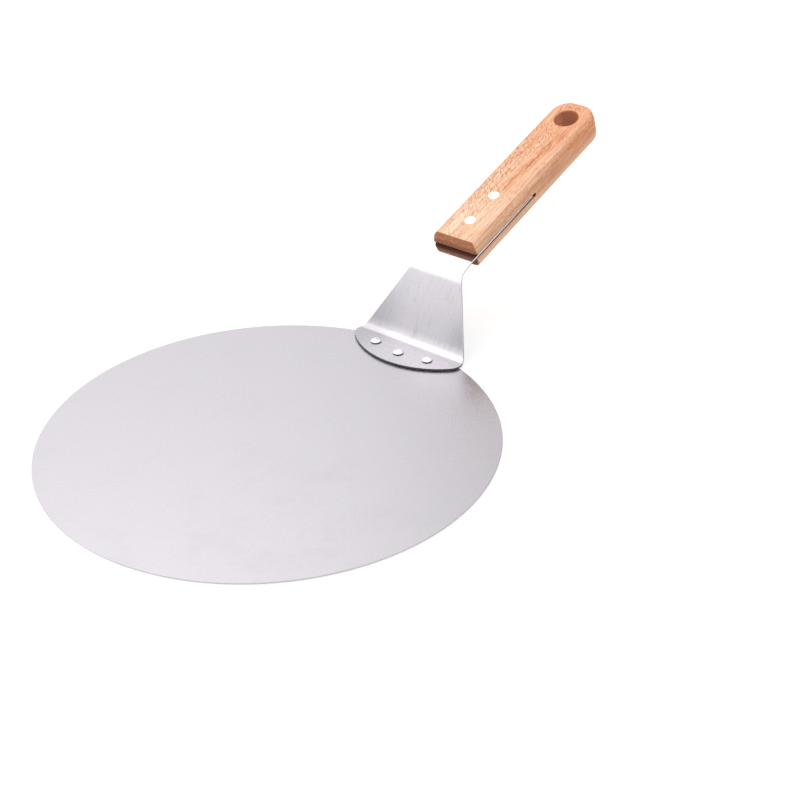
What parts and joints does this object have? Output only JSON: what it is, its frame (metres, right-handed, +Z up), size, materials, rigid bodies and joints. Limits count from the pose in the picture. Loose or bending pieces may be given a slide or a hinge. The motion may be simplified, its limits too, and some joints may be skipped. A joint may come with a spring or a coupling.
{
  "type": "cake lifter",
  "caption": "Round flat steel lifting blade riveted to a folded, tapered steel neck whose tang is riveted into a slotted, chamfered wooden handle with a round hanging hole.",
  "frame": {"origin": "centre of the round blade on its underside", "axes": "+Z up out of the blade's upper face, +Y from the blade's centre towards the handle, +X to the right when the handle points away"},
  "size_m": [0.255, 0.4311, 0.0957],
  "materials": {
    "blade_steel": "satin rolled sheet",
    "neck_steel": "polished with a fine grain along the neck",
    "blade_rivet_steel": "bright domed heads",
    "handle_wood": "sanded and oiled, fine grain along the handle",
    "handle_rivet_metal": "ground flush with the wood"
  },
  "bodies": {
    "root": {"blade": "blade_steel", "neck": "neck_steel", "handle": "handle_wood", "blade_rivet_left": "blade_rivet_steel", "blade_rivet_middle": "blade_rivet_steel", "blade_rivet_right": "blade_rivet_steel", "handle_rivet_front_barrel": "handle_rivet_metal", "handle_rivet_front_pin": "handle_rivet_metal", "handle_rivet_rear_barrel": "handle_rivet_metal", "handle_rivet_rear_pin": "handle_rivet_metal"}
  },
  "joints": []
}
